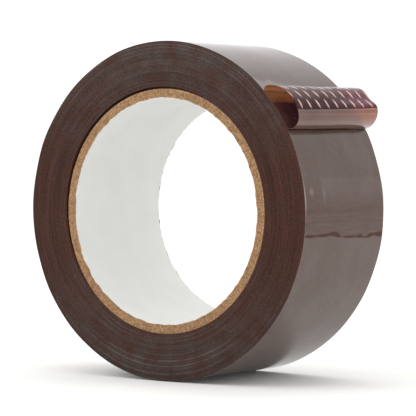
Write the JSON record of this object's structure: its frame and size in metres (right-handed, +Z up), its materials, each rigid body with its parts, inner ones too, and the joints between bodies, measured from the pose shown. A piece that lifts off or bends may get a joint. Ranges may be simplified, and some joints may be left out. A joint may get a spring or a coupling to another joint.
{
  "type": "roll of packing tape",
  "caption": "Roll of brown packing tape on a three inch paperboard core, its free end curled up and carrying a printed starter strip.",
  "frame": {"origin": "centre of the core's bore, halfway across the tape's width", "axes": "+Y runs along the bore, away from the side face that shows the windings from the front; +Z is up, and the curled free end is at the upper +X side"},
  "size_m": [0.1146, 0.048, 0.1146],
  "materials": {
    "white_liner_paper": "matte",
    "kraft_board": "matte",
    "brown_tape": "gloss",
    "clear_brown_film": "gloss",
    "printed_strip": "gloss"
  },
  "bodies": {
    "roll": {"core_liner": "white_liner_paper", "core_ply_1": "kraft_board", "core_ply_2": "kraft_board", "core_ply_3": "kraft_board", "core_ply_4": "kraft_board", "core_ply_5": "kraft_board", "core_ply_6": "kraft_board", "tape_winding": "brown_tape", "outer_turn": "brown_tape"},
    "free_end": {"tape_tail": "clear_brown_film", "starter_strip": "printed_strip"}
  },
  "joints": [
    {"name": "tape_lift", "type": "hinge", "parent": "roll", "child": "free_end", "pos_m": [0.05044, 0, 0.0275], "axis": [0, 1, 0], "range_deg": [0, 50], "stiffness_Nm_per_rad": 0.0005, "springref_deg": -11.46}
  ]
}
